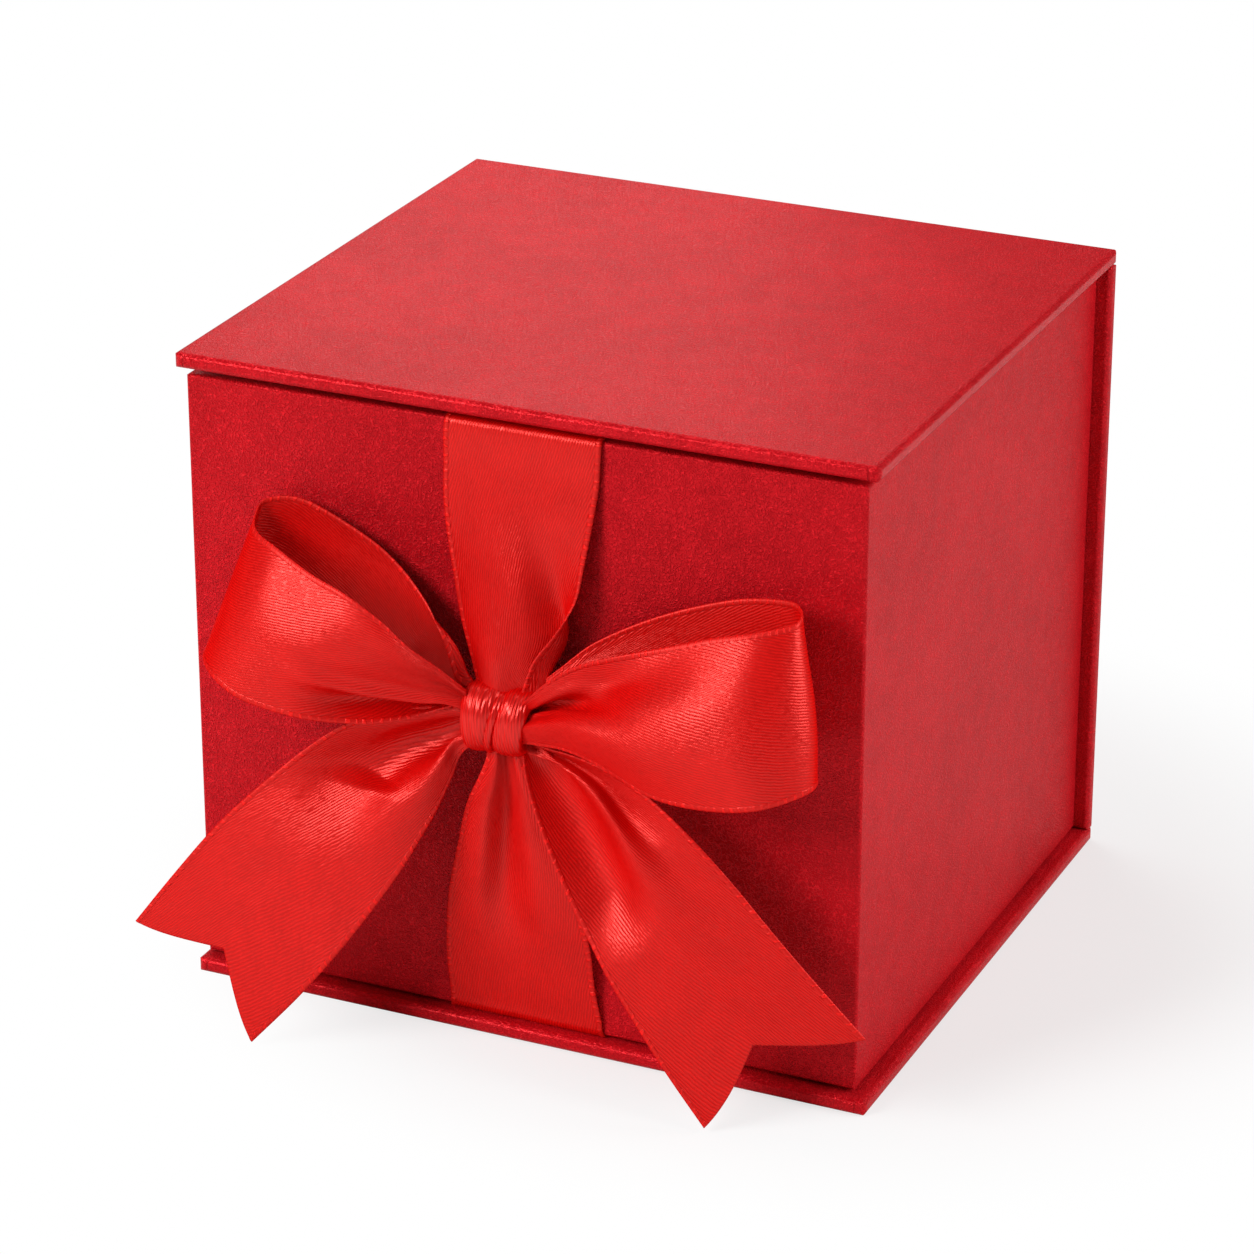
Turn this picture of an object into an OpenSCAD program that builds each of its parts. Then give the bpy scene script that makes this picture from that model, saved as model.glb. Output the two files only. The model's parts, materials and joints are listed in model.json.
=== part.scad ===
// Book-style rigid gift box with a satin ribbon bow.
// A greyboard tray stands in a three-board case (base, back and lid) and the lid turns on a
// paper crease along the top of the back board.
// X runs to the right along the front, Y to the back, Z up.
// The origin is the centre of the underside of the base.

/* [Tray] */
// Outside width of the tray over its paper
tray_w = 168; // [120:1:240]
// Outside depth of the tray over its paper
tray_d = 150; // [100:1:220]
// Outside height of the tray over its paper
tray_h = 148.5; // [130:0.5:200]
// Thickness of the greyboard that the tray is folded from
tray_board_t = 2.2; // [1.5:0.1:3]

/* [Case] */
// Thickness of the three case boards without paper
case_board_t = 3.1; // [2.4:0.1:3.6]
// How far the lid and the base stand out in front of the tray
front_overhang = 3.5; // [2:0.5:6]
// How far the case stands out beside the tray, as the mean of both sides
side_overhang = 2.5; // [2:0.5:6]
// How far to the left of the case's middle the tray is glued
tray_shift = 1.25; // [0:0.25:1.5]
// Air gap between the tray rim and the closed lid
lid_gap = 2.4; // [1.5:0.1:4]
// Gap between the tray and the base, where the ribbon passes
base_gap = 0.6; // [0.5:0.1:1.2]
// How far the crease of the lid lies behind the back board
crease_offset = 0.15; // [0.1:0.05:0.3]

/* [Paper] */
// Thickness of the covering paper with its glue
paper_t = 0.35; // [0.35:0.05:0.5]
// Radius of the long edges of the covered case boards
edge_r = 1.3; // [0.6:0.1:1.4]
// Radius of the corners of the lid and the base, seen from above
corner_r = 1.8; // [0.6:0.1:4]
// Radius of the corners of the back board
back_corner_r = 0.6; // [0.4:0.1:1.4]
// Radius of the covered edges of the tray
rim_r = 0.8; // [0.4:0.05:1.1]
// Width of the paper turned in round the inner side of a board
turn_in = 15; // [10:1:22]
// Thickness of the lining sheets
lining_t = 0.2; // [0.15:0.05:0.35]
// Border left uncovered between a lining sheet and the board's edge
lining_inset = 3; // [2:0.5:6]
// Distance from the tray rim down to its wall lining
rim_reveal = 6; // [6:0.5:12]
// Length of each leg of a corner stay tape
stay_leg = 12; // [8:1:20]
// Thickness of the corner stay tape
stay_t = 0.1; // [0.08:0.01:0.12]

/* [Ribbon] */
// Width of the satin ribbon, which also sets the size of the bow
ribbon_w = 40; // [34:1:44]
// Thickness of the ribbon
ribbon_t = 0.4; // [0.3:0.05:0.45]
// Height of the middle of the knot above the base's underside
knot_z = 88.5; // [84:0.5:96]
// Distance of the knot to the left of the box's middle
knot_shift = 1; // [0:0.5:4]
// Width of the knot across the front
knot_w = 15; // [12:0.5:18]
// Height of the knot
knot_h = 18.6; // [16:0.2:21]
// Depth of the knot from its back to its front
knot_d = 13; // [11:0.5:15]
// Depth of the grooves between the wraps of the knot
knot_groove = 1.6; // [0.8:0.1:2.2]
// Width of the thin folded strip between the two wraps of the knot
knot_fold = 2.6; // [2:0.2:4]
// Gap between the front of the tray and the back of the knot
knot_stand = 4; // [3:0.5:6]
// Width of the gathered straps where they meet the knot
gather_w = 11; // [8:0.5:13]
// Length of the upper strap that hooks down inside the front wall
hook_len = 3; // [1:0.5:3]
// Height of the lower tail points above the surface that the box stands on
tip_lift = 0.6; // [0.4:0.1:4]
// Length of the lower strap that is glued under the tray
tuck_len = 9; // [4:0.5:10]
// Depth of the V cut in the tails, as a share of their length
v_cut = 0.08; // [0.04:0.01:0.2]
// Clearance between ribbon pieces and between ribbon and box
ribbon_clear = 0.3; // [0.2:0.05:0.4]

/* [Hidden] */

edge_fn = 24;
along = 3;
across = 4;

// Case: outside size of one covered board, and the case's footprint
case_t = case_board_t + 2 * paper_t;
case_w = tray_w + 2 * side_overhang;
case_d = front_overhang + tray_d + case_t;
front_y = -case_d / 2;
back_y = case_d / 2;

// Tray: faces and levels
tray_front = front_y + front_overhang;
tray_back = tray_front + tray_d;
tray_z = case_t + base_gap;
rim_z = tray_z + tray_h;
lid_z = rim_z + lid_gap;
wall_t = tray_board_t + 2 * paper_t;
back_h = lid_z - case_t;

// Knot: its middle, measured out from the front face of the tray
knot_x = -knot_shift;
knot_out = knot_stand + knot_d / 2;
drawn_w = 40;
bow_scale = ribbon_w / drawn_w;

paper_red = [0.72, 0.06, 0.12];
lining_red = [0.62, 0.05, 0.10];
satin_red = [0.86, 0.09, 0.08];
greyboard = [0.62, 0.60, 0.56];
tape_brown = [0.78, 0.66, 0.47];
glue_amber = [0.85, 0.78, 0.62];

// ---- Boards and paper ----

// A box centred on the Z axis and standing on z = 0
module slab(w, d, h) {
    translate([-w / 2, -d / 2, 0])
        cube([w, d, h]);
}

// Rectangle with corners of radius r, centred on the origin
module round_rect(w, h, r) {
    square([w - 2 * r, h], center = true);
    square([w, h - 2 * r], center = true);
    for (x = [-1, 1], y = [-1, 1])
        translate([x * (w / 2 - r), y * (h / 2 - r)])
            circle(r, $fn = edge_fn);
}

// A slab whose long edges have radius r and whose upright corners have radius corner
module soft_slab(w, d, h, r, corner) {
    intersection() {
        linear_extrude(h)
            round_rect(w, d, corner);
        translate([0, d / 2, h / 2])
            rotate([90, 0, 0])
                linear_extrude(d)
                    round_rect(w, h, r);
        translate([-w / 2, 0, h / 2])
            rotate([90, 0, 90])
                linear_extrude(w)
                    round_rect(d, h, r);
    }
}

// Greyboard of one case board with eased edges, lying flat with its inner side up
module board_core(w, d, corner) {
    translate([0, 0, paper_t])
        soft_slab(w - 2 * paper_t, d - 2 * paper_t, case_board_t, edge_r - paper_t,
            max(corner - paper_t, 0.05));
}

// Covering paper of the same board: it covers the outer side and the edges and is turned in
// round the inner side
module board_paper(w, d, corner) {
    difference() {
        soft_slab(w, d, case_t, edge_r, corner);
        board_core(w, d, corner);
        translate([0, 0, case_t - 2 * paper_t])
            slab(w - 2 * turn_in, d - 2 * turn_in, 3 * paper_t);
    }
}

module base_pose() {
    children();
}

module back_pose() {
    translate([0, back_y, case_t + back_h / 2])
        rotate([90, 0, 0])
            children();
}

module lid_pose() {
    translate([0, 0, lid_z + case_t])
        rotate([180, 0, 0])
            children();
}

module base_board() {
    color(greyboard)
        base_pose()
            board_core(case_w, case_d, corner_r);
}

module back_board() {
    color(greyboard)
        back_pose()
            board_core(case_w, back_h, back_corner_r);
}

module lid_board() {
    color(greyboard)
        lid_pose()
            board_core(case_w, case_d, corner_r);
}

module base_wrap() {
    color(paper_red)
        base_pose()
            board_paper(case_w, case_d, corner_r);
}

module back_wrap() {
    color(paper_red)
        back_pose()
            board_paper(case_w, back_h, back_corner_r);
}

module lid_wrap() {
    color(paper_red)
        lid_pose()
            board_paper(case_w, case_d, corner_r);
}

// Lining of the lid: its middle sinks between the turn-ins onto the board, and its border
// lies on the turn-ins. At the back it ends before the back board.
module lid_lining() {
    w = case_w - 2 * turn_in;
    d = case_d - 2 * turn_in;
    color(lining_red)
        lid_pose()
            union() {
                translate([0, 0, case_t - paper_t])
                    slab(w, d, paper_t);
                difference() {
                    translate([0, case_t / 2, case_t])
                        slab(case_w - 2 * lining_inset, case_d - case_t - 2 * lining_inset,
                            lining_t);
                    slab(w - 2 * paper_t, d - 2 * paper_t, 2 * case_t);
                }
            }
}

// Glue between the tray and the case, inside the ring of turned-in paper
module base_glue_pad() {
    color(glue_amber)
        translate([0, 0, case_t - paper_t])
            slab(case_w - 2 * turn_in, case_d - 2 * turn_in - 2 * case_t, paper_t + base_gap);
}

module back_glue_pad() {
    h = back_h - 2 * turn_in;
    color(glue_amber)
        translate([0, tray_back + paper_t / 2, case_t + back_h / 2 - h / 2])
            slab(case_w - 2 * turn_in, paper_t, h);
}

// ---- Tray ----

board_w = tray_w - 2 * paper_t;
board_d = tray_d - 2 * paper_t;
board_h = tray_h - 2 * paper_t;
tray_mid_y = (tray_front + tray_back) / 2;

module tray_pose() {
    translate([-tray_shift, tray_mid_y, tray_z + paper_t])
        children();
}

// Half of a wall's V groove: the board's edge is cut at 45 degrees so that the fold closes
module mitred_panel(length, height) {
    t = tray_board_t;
    intersection() {
        translate([-length / 2, 0, 0])
            rotate([90, 0, 90])
                linear_extrude(length)
                    polygon([[0, 0], [t, t], [t, height], [0, height]]);
        linear_extrude(height)
            polygon([[-length / 2, 0], [length / 2, 0], [length / 2 - t, t], [t - length / 2, t]]);
    }
}

// Floor panel with all four edges cut at 45 degrees
module mitred_floor(w, d) {
    t = tray_board_t;
    intersection() {
        translate([0, d / 2, 0])
            rotate([90, 0, 0])
                linear_extrude(d)
                    polygon([[-w / 2, 0], [w / 2, 0], [w / 2 - t, t], [t - w / 2, t]]);
        translate([-w / 2, 0, 0])
            rotate([90, 0, 90])
                linear_extrude(w)
                    polygon([[-d / 2, 0], [d / 2, 0], [d / 2 - t, t], [t - d / 2, t]]);
    }
}

module tray_floor_board() {
    color(greyboard)
        tray_pose()
            mitred_floor(board_w, board_d);
}

module tray_front_board() {
    color(greyboard)
        tray_pose()
            translate([0, -board_d / 2, 0])
                mitred_panel(board_w, board_h);
}

module tray_back_board() {
    color(greyboard)
        tray_pose()
            translate([0, board_d / 2, 0])
                mirror([0, 1, 0])
                    mitred_panel(board_w, board_h);
}

module tray_left_board() {
    color(greyboard)
        tray_pose()
            translate([-board_w / 2, 0, 0])
                rotate([0, 0, -90])
                    mitred_panel(board_d, board_h);
}

module tray_right_board() {
    color(greyboard)
        tray_pose()
            translate([board_w / 2, 0, 0])
                rotate([0, 0, 90])
                    mitred_panel(board_d, board_h);
}

// Paper tape glued round one upright corner of the boards before they are covered
module corner_stay(sx, sy) {
    color(tape_brown)
        tray_pose()
            translate([sx * (board_w / 2 + stay_t), sy * (board_d / 2 + stay_t), stay_leg / 2])
                mirror([sx > 0 ? 1 : 0, 0, 0])
                    mirror([0, sy > 0 ? 1 : 0, 0])
                        linear_extrude(board_h - stay_leg)
                            difference() {
                                square(stay_leg);
                                translate([stay_t, stay_t])
                                    square(stay_leg);
                            }
}

module corner_stay_front_left() {
    corner_stay(-1, -1);
}

module corner_stay_front_right() {
    corner_stay(1, -1);
}

module corner_stay_back_left() {
    corner_stay(-1, 1);
}

module corner_stay_back_right() {
    corner_stay(1, 1);
}

// Covering paper of the tray: outside, under the floor, over the rim and turned in inside
module tray_wrap() {
    in_w = board_w - 2 * tray_board_t;
    in_d = board_d - 2 * tray_board_t;
    color(paper_red)
        difference() {
            tray_pose()
                translate([0, 0, -paper_t])
                    soft_slab(tray_w, tray_d, tray_h, rim_r, rim_r);
            tray_pose()
                difference() {
                    slab(board_w, board_d, board_h);
                    translate([0, 0, board_h - turn_in])
                        slab(in_w, in_d, board_h);
                }
            tray_pose()
                translate([0, 0, board_h - turn_in - 1])
                    slab(in_w - 2 * paper_t, in_d - 2 * paper_t, board_h);
            for (sx = [-1, 1], sy = [-1, 1])
                corner_stay(sx, sy);
        }
}

// Lining strip round the inside of the walls, over the turned-in paper
module tray_wall_lining() {
    in_w = tray_w - 2 * wall_t;
    in_d = tray_d - 2 * wall_t;
    low = tray_board_t + lining_t;
    color(lining_red)
        tray_pose()
            difference() {
                translate([0, 0, low])
                    slab(in_w, in_d, board_h + paper_t - rim_reveal - low);
                translate([0, 0, low - 1])
                    slab(in_w - 2 * lining_t, in_d - 2 * lining_t, board_h + 2);
            }
}

module tray_floor_lining() {
    color(lining_red)
        tray_pose()
            translate([0, 0, tray_board_t])
                slab(tray_w - 2 * wall_t, tray_d - 2 * wall_t, lining_t);
}

// ---- Ribbon ----
// A ribbon piece is given by stations along its length. A station is [first edge, second edge,
// crown]: the two edge points and how far the middle stands forward of the line between them.
// Bow points are [out, forward, up] from the side of the knot, before they are scaled.

// Catmull-Rom curve through a list of values
function spline(p, t) =
    let (
        last = len(p) - 1,
        s = min(t * last, last - 0.0001),
        i = floor(s),
        u = s - i,
        a = p[max(i - 1, 0)],
        b = p[i],
        c = p[i + 1],
        d = p[min(i + 2, last)]
    )
    0.5 * (2 * b + (c - a) * u + (2 * a - 5 * b + 4 * c - d) * u * u
        + (3 * b - a - 3 * c + d) * u * u * u);

// A point of the ribbon's middle surface: t runs along it and v from edge to edge
function ribbon_point(stations, t, v) =
    let (
        a = spline([for (s = stations) s[0]], t),
        b = spline([for (s = stations) s[1]], t),
        crown = spline([for (s = stations) s[2]], t)
    )
    a * (1 - v) + b * v - [0, 4 * v * (1 - v) * crown, 0];

function unit(v) = v / norm(v);

// The cut end: the middle columns of a tail stop short by the V cut
function cut_share(v, cut) = 1 - cut * (1 - abs(2 * v - 1));

// Closed sheet of the ribbon's thickness round the middle surface
module ribbon_sheet(stations, cut = 0) {
    rows = along * (len(stations) - 1);
    step = 0.002;
    function mid(i, j) =
        ribbon_point(stations, i / rows * cut_share(j / across, cut), j / across);
    function face(i, j) =
        let (
            v = j / across,
            t = i / rows * cut_share(v, cut),
            dt = ribbon_point(stations, min(t + step, 1), v)
                - ribbon_point(stations, max(t - step, 0), v),
            dv = ribbon_point(stations, t, min(v + step, 1))
                - ribbon_point(stations, t, max(v - step, 0))
        )
        unit(cross(dt, dv));
    function at(side, i, j) = (side * (rows + 1) + i) * (across + 1) + j;
    points = [
        for (side = [0, 1], i = [0 : rows], j = [0 : across])
            mid(i, j) + (side - 0.5) * ribbon_t * face(i, j)
    ];
    faces = concat(
        [for (i = [0 : rows - 1], j = [0 : across - 1])
            each [[at(0, i, j), at(0, i + 1, j), at(0, i + 1, j + 1)],
                [at(0, i, j), at(0, i + 1, j + 1), at(0, i, j + 1)]]],
        [for (i = [0 : rows - 1], j = [0 : across - 1])
            each [[at(1, i, j), at(1, i + 1, j + 1), at(1, i + 1, j)],
                [at(1, i, j), at(1, i, j + 1), at(1, i + 1, j + 1)]]],
        [for (i = [0 : rows - 1])
            each [[at(0, i, 0), at(1, i, 0), at(1, i + 1, 0)],
                [at(0, i, 0), at(1, i + 1, 0), at(0, i + 1, 0)]]],
        [for (i = [0 : rows - 1])
            each [[at(0, i, across), at(1, i + 1, across), at(1, i, across)],
                [at(0, i, across), at(0, i + 1, across), at(1, i + 1, across)]]],
        [for (j = [0 : across - 1])
            each [[at(0, 0, j), at(1, 0, j + 1), at(1, 0, j)],
                [at(0, 0, j), at(0, 0, j + 1), at(1, 0, j + 1)]]],
        [for (j = [0 : across - 1])
            each [[at(0, rows, j), at(1, rows, j), at(1, rows, j + 1)],
                [at(0, rows, j), at(1, rows, j + 1), at(0, rows, j + 1)]]]
    );
    polyhedron(points, faces);
}

// Bow point to box point, on the left (-1) or the right (1) of the knot
function bow_point(side, p, rise) = [
    knot_x + side * (knot_w / 2 + ribbon_clear + p[0] * bow_scale),
    tray_front - knot_out - p[1] * bow_scale,
    knot_z + p[2] * rise
];

function bow_stations(side, list, rise = bow_scale) = [
    for (s = list)
        [bow_point(side, s[0], rise), bow_point(side, s[1], rise), s[2] * bow_scale]
];

// From the knot out along the back band, round the outer fold and back along the front band
left_loop_stations = [
    [[0, 1, 4.7], [1, -4, -3.5], -1.5],
    [[3, 1.2, 7.5], [10.5, -5.5, -6], -2.5],
    [[6, 0.5, 14], [20, -6.8, -8], -3],
    [[12.5, -3.5, 22], [30, -7, -8.5], -1],
    [[29, -7, 33.7], [41, -7, -3.5], 0],
    [[44.5, -7, 40], [56.5, -6, 0.5], 0],
    [[53, -4.5, 39.8], [65.3, -2.5, 1.2], 0],
    [[53.4, 0, 38], [65.8, 4.5, 2], 0],
    [[44, 6.5, 32.9], [53, 8.5, -5.2], 3],
    [[32.2, 13.5, 31.5], [37.8, 10.5, -6.1], 4],
    [[21.1, 18.5, 30.3], [25.5, 9.5, -5.7], 3],
    [[13.3, 17, 24.8], [16.6, 6.5, -5], 1.5],
    [[8.2, 13.5, 18], [9.4, 4.5, -2.7], 0.5],
    [[0, 4.5, 6.5], [0, 2.7, 0.8], 0.5]
];

right_loop_stations = [
    [[0, -1.5, 5], [0, -2.5, -5], 0],
    [[12, -5, 17.5], [12, -6, -4.5], 0],
    [[28.5, -7, 27], [31, -7, -5.5], 0],
    [[46, -7, 34], [50.5, -5.5, -4], 0],
    [[60, -4, 37.4], [66.5, -1, -0.5], 0],
    [[65.5, -0.5, 37.6], [72.5, 7, 0.8], 0.5],
    [[65.5, 5, 36.3], [72.7, 14.5, 1], 2.4],
    [[57.4, 9, 34.4], [63.8, 20.5, -1.9], 4],
    [[47, 9.5, 31.4], [50.6, 19, -5.2], 5.8],
    [[34.5, 9, 26.5], [36, 15, -6.7], 5],
    [[22.9, 8.5, 22], [21.6, 10, -4.3], 1],
    [[14.2, 7, 17.7], [11.6, 6.5, -3.8], 0],
    [[6.1, 5.5, 11.6], [3.3, 4, -5], 0],
    [[0, 3.5, 4.8], [0, 2.7, -5.2], 0]
];

// From the knot down to the two points of the V cut; the lower point ends just above the
// surface that the box stands on
left_tail_stations = [
    [[0, 1.5, -0.3], [0, 0.5, -9.5], 0.5],
    [[4.5, 1.5, -0.4], [2.2, 0.5, -13], 0],
    [[12, 3, -1.5], [4, 1.5, -18.5], 0],
    [[21.5, 5.5, -4], [6.5, 3.5, -25.5], 0],
    [[29.3, 8, -8], [9.5, 6.5, -32.5], 0.5],
    [[38, 10, -15], [13.7, 9.5, -41], 0.5],
    [[47.7, 12, -24], [19.8, 12.5, -51], 0.5],
    [[58, 14.5, -35], [27.5, 16, -62.5], 0],
    [[68.5, 16.5, -48.5], [36.7, 18.5, -74.5], 0],
    [[79.5, 18, -63.5], [48, 20.5, -87.5], 0]
];

right_tail_stations = [
    [[0, 1.5, -6.3], [0, 0.5, -9.2], 0.5],
    [[3.5, 1.6, -6.3], [0.2, 1, -10.5], 0],
    [[12.4, 2.5, -6.8], [0.5, 2, -15.5], 0.5],
    [[22, 3, -9], [2.2, 3.5, -22], 1],
    [[31.5, 4.5, -12.7], [6.7, 5.5, -31], 1.5],
    [[41.5, 6, -19], [13, 7.5, -42], 1.5],
    [[52, 6.2, -28.5], [20.8, 9.7, -53.3], 0.5],
    [[62, 6, -39], [29.8, 11.5, -64.8], 0],
    [[72, 5.5, -49.3], [39, 13, -76], 0],
    [[84, 4.5, -61.5], [49, 14, -87.5], 0]
];

module left_loop() {
    color(satin_red)
        ribbon_sheet(bow_stations(-1, left_loop_stations));
}

module right_loop() {
    color(satin_red)
        ribbon_sheet(bow_stations(1, right_loop_stations));
}

// Stretch of a tail's heights that puts its lower point at the height of the tips
function tail_rise(list) = (tip_lift - knot_z) / list[len(list) - 1][1][2];

module left_tail() {
    list = left_tail_stations;
    color(satin_red)
        ribbon_sheet(bow_stations(-1, list, tail_rise(list)), v_cut);
}

module right_tail() {
    list = right_tail_stations;
    color(satin_red)
        ribbon_sheet(bow_stations(1, list, tail_rise(list)), v_cut);
}

// A strap station: middle, width, distance in front of the tray, height and crown
function strap_station(x, w, out, z, crown) = [
    [x - w / 2, tray_front - out, z],
    [x + w / 2, tray_front - out, z],
    crown
];

skin = ribbon_clear / 2 + ribbon_t / 2;
strap_root_out = knot_out;
upper_root_z = knot_z + knot_h / 2 + ribbon_clear;
lower_root_z = knot_z - knot_h / 2 - ribbon_clear;

// Upper strap: from the knot up to the rim, over it and down inside the front wall. At the
// knot it is gathered into a trough, so its middle lies behind its edges there.
function upper_strap_stations() =
    let (rise = rim_z - skin - upper_root_z)
    concat(
        [for (t = [0, 0.06, 0.16, 0.3, 0.5, 0.75, 0.9])
            strap_station(
                knot_x * (1 - t),
                gather_w + (ribbon_w - gather_w) * (1 - exp(-t * 3.5)),
                skin + (strap_root_out - skin) * pow(1 - t, 1.5),
                upper_root_z + t * rise,
                -4 * exp(-t * 6)
            )],
        [for (p = [[skin, -3 * rim_r], [skin, -rim_r], [skin, 0], [0, skin], [-rim_r, skin],
            [rim_r - wall_t, skin], [-wall_t, skin], [-wall_t - skin, 0],
            [-wall_t - skin, -rim_r], [-wall_t - skin, -hook_len]])
            strap_station(0, ribbon_w, p[0], rim_z + p[1], 0)]
    );

// Lower strap: from the knot down to the base and under the front edge of the tray
function lower_strap_stations() =
    let (
        fall = lower_root_z - tray_z - rim_r,
        gap_z = case_t + base_gap / 2
    )
    concat(
        [for (t = [0, 0.2, 0.4, 0.6, 0.8, 0.93])
            strap_station(
                knot_x * (1 - t),
                gather_w - 5 + (ribbon_w - gather_w + 5) * sin(90 * t),
                skin + (strap_root_out - skin) * (1 - t) * (1 + 0.5 * t),
                lower_root_z - t * fall,
                -2.5 * (1 - t)
            )],
        [for (p = [[skin, tray_z + rim_r], [skin, tray_z + rim_r / 3],
            [-rim_r / 2, gap_z], [-2 * rim_r, gap_z], [-tuck_len, gap_z]])
            strap_station(0, ribbon_w, p[0], p[1], 0)]
    );

module upper_strap() {
    color(satin_red)
        ribbon_sheet(upper_strap_stations());
}

module lower_strap() {
    color(satin_red)
        ribbon_sheet(lower_strap_stations());
}

// Radius share of the knot along its width: two rounded wraps with a thin fold between them
function knot_profile(u) =
    let (
        off = abs(u - 0.5) * knot_w,
        wrap_w = (knot_w - knot_fold) / 2,
        wrap = off > knot_fold / 2
            ? sin(180 * (off - knot_fold / 2) / wrap_w)
            : 0.7 * cos(180 * off / knot_fold)
    )
    1 - knot_groove / (knot_h / 2) * (1 - sqrt(max(wrap, 0)));

module knot() {
    rings = 24;
    spokes = 32;
    points = [
        for (i = [0 : rings], k = [0 : spokes - 1])
            let (
                u = i / rings,
                r = knot_profile(u),
                a = 360 * k / spokes
            )
            [
                knot_x + knot_w * (u - 0.5),
                tray_front - knot_out - r * knot_d / 2 * cos(a),
                knot_z + r * knot_h / 2 * sin(a)
            ]
    ];
    faces = concat(
        [[for (k = [spokes - 1 : -1 : 0]) k]],
        [for (i = [0 : rings - 1], k = [0 : spokes - 1])
            let (
                a = i * spokes + k,
                b = i * spokes + (k + 1) % spokes
            )
            each [[a, b + spokes, a + spokes], [a, b, b + spokes]]],
        [[for (k = [0 : spokes - 1]) rings * spokes + k]]
    );
    color(satin_red)
        polyhedron(points, faces);
}

base_board();
back_board();
lid_board();
base_wrap();
back_wrap();
lid_wrap();
lid_lining();
base_glue_pad();
back_glue_pad();
tray_floor_board();
tray_front_board();
tray_back_board();
tray_left_board();
tray_right_board();
corner_stay_front_left();
corner_stay_front_right();
corner_stay_back_left();
corner_stay_back_right();
tray_wrap();
tray_wall_lining();
tray_floor_lining();
upper_strap();
lower_strap();
left_loop();
right_loop();
left_tail();
right_tail();
knot();
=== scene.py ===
# %% [markdown]
# # A rigid gift box with a satin bow
#
# The box is of the book kind: three boards in one sheet of red paper make the base, the back
# and the lid, and a covered tray is glued inside. A satin ribbon comes over the front rim,
# is tied in a bow and goes on under the tray. The CAD frame holds every board and sheet of
# paper at its real size, so this script keeps those pieces and gives them their finish. The
# ribbon is soft, so its plain solids are replaced here by modelled satin.

# %% Load the frame
import json
import math

import bpy
import mathutils
import numpy as np
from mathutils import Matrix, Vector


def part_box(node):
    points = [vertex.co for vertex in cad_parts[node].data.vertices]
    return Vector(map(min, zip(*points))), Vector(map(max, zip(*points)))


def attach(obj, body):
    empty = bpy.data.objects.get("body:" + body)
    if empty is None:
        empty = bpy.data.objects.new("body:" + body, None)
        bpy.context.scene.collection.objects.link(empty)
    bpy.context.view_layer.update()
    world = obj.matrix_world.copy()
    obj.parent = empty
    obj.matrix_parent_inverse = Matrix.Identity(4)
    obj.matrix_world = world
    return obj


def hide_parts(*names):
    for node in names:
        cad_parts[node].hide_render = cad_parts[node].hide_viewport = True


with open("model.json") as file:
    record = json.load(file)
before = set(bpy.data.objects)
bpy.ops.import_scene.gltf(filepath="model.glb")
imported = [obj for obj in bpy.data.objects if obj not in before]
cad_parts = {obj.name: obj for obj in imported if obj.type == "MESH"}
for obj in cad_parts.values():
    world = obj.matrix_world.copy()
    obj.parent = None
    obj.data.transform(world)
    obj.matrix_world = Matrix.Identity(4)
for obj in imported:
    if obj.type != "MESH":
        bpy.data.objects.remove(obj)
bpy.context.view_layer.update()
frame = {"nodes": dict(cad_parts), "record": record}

MM = 0.001
scene = bpy.context.scene
scene.view_settings.view_transform = "Standard"

# %% [markdown]
# ## Places that the frame gives
#
# The bow is built round the knot and the straps run from the knot to the tray's rim and foot.
# All these places come from the frame's own boxes, so they move if the CAD sizes change.

# %% Measure the frame
tray_low, tray_high = (np.array(corner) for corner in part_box("tray_wrap"))
lid_low, lid_high = (np.array(corner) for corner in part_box("lid_wrap"))
base_low, base_high = (np.array(corner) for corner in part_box("base_wrap"))
knot_low, knot_high = (np.array(corner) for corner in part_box("knot"))
knot_mid = (knot_low + knot_high) / 2
FRONT = tray_low[1]
RIM = tray_high[2]
print("tray front at y", round(float(FRONT), 4), "rim at z", round(float(RIM), 4))

# %% [markdown]
# ## The camera
#
# A long lens from a little over a metre keeps the box's upright edges nearly parallel, as in a
# catalogue picture. The camera is set first, because every shape is judged through it.

# %% Camera
LENS = 134.7
FILM_WIDTH = 36
CAMERA_AT = (0.4217, -0.9508, 0.5317)
AZIMUTH = math.radians(24.34)
ELEVATION = math.radians(23.71)

camera = bpy.data.objects.new("camera", bpy.data.cameras.new("camera"))
scene.collection.objects.link(camera)
camera.data.lens = LENS
camera.data.sensor_width = FILM_WIDTH
camera.location = CAMERA_AT
camera.rotation_euler = (math.pi / 2 - ELEVATION, 0, AZIMUTH)
scene.camera = camera
print("camera at", CAMERA_AT)

# %% [markdown]
# ## Shader maths
#
# Paper grain and woven satin repeat a rule thousands of times, so their finishes are worked out
# from noise, waves and distances and need no pictures. A formula in a material is a chain of
# Math nodes. They could be added one by one, but a small class that overloads Python's operators
# lets each formula be written, and read, as one expression.

# %% A class for shader maths
class Value:
    """A socket of a node tree that Python's operators work on by adding Math nodes."""

    def __init__(self, tree, socket):
        self.tree = tree
        self.socket = socket

    def math(self, operation, *others):
        return self.tree.node("ShaderNodeMath", {"operation": operation},
                              {i: v for i, v in enumerate((self,) + others)})

    def __add__(self, other):
        return self.math("ADD", other)

    def __sub__(self, other):
        return self.math("SUBTRACT", other)

    def __mul__(self, other):
        return self.math("MULTIPLY", other)

    def __truediv__(self, other):
        return self.math("DIVIDE", other)

    def __rsub__(self, other):
        return self.tree.node("ShaderNodeMath", {"operation": "SUBTRACT"}, {0: other, 1: self})

    __radd__ = __add__
    __rmul__ = __mul__


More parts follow.
